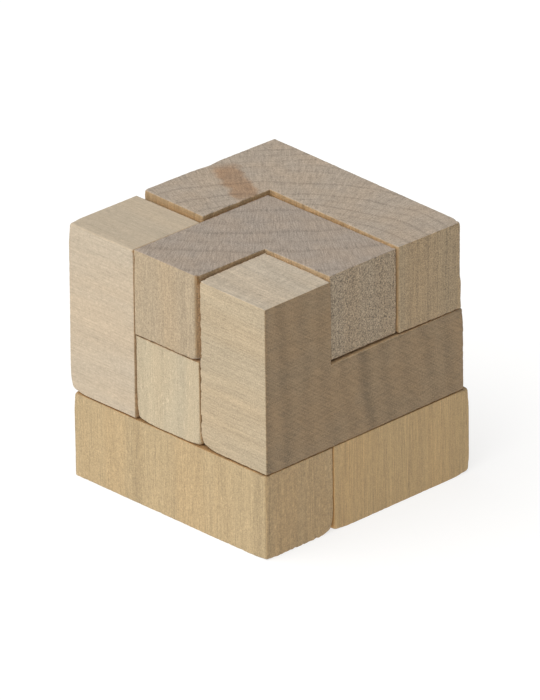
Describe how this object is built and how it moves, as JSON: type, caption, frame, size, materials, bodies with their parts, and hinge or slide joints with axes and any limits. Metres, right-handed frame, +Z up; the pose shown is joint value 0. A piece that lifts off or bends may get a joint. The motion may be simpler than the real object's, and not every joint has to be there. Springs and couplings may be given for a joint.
{
  "type": "wooden cube packing puzzle",
  "caption": "Wooden brain-teaser cube assembled from flat interlocked L, T, V and Z shaped blocks that slide or lift apart and pack back into a cube.",
  "frame": {"origin": "middle of the cube's bounding box in plan, on the plane that the bottom pieces stand on", "axes": "+Z up; -Y out of the side face with the two upright end pieces and the short middle pieces; +X out of the side face that shows the long L on end"},
  "size_m": [0.0612, 0.062, 0.0618],
  "materials": {
    "yellow_wood": "bare sanded hardwood, yellowish tan, satin-matte",
    "pale_wood": "bare sanded hardwood, cream, satin-matte",
    "grey_brown_wood": "bare sawn hardwood, greyish brown end grain, matte"
  },
  "bodies": {
    "bottom_l": {"bottom_l_piece": "yellow_wood"},
    "bottom_t": {"bottom_t_piece": "yellow_wood"},
    "left_z": {"left_z_piece": "pale_wood"},
    "middle_l": {"middle_l_piece": "pale_wood"},
    "right_l": {"right_l_piece": "pale_wood"},
    "top_v": {"top_v_piece": "grey_brown_wood"},
    "back_top_l": {"back_top_l_piece": "grey_brown_wood"}
  },
  "joints": [
    {"name": "back_top_l_lift", "type": "slide", "parent": "bottom_l", "child": "back_top_l", "axis": [0, 0, 1], "range_m": [0, 0.028]},
    {"name": "top_v_lift", "type": "slide", "parent": "bottom_l", "child": "top_v", "axis": [0, 0, 1], "range_m": [0, 0.026]},
    {"name": "right_l_draw", "type": "slide", "parent": "bottom_l", "child": "right_l", "axis": [1, 0, 0], "range_m": [0, 0.026]},
    {"name": "left_z_draw", "type": "slide", "parent": "bottom_l", "child": "left_z", "axis": [-1, 0, 0], "range_m": [0, 0.026]},
    {"name": "middle_l_draw", "type": "slide", "parent": "bottom_l", "child": "middle_l", "axis": [0, 1, 0], "range_m": [0, 0.065]},
    {"name": "bottom_t_draw", "type": "slide", "parent": "bottom_l", "child": "bottom_t", "axis": [0, -1, 0], "range_m": [0, 0.045]}
  ]
}
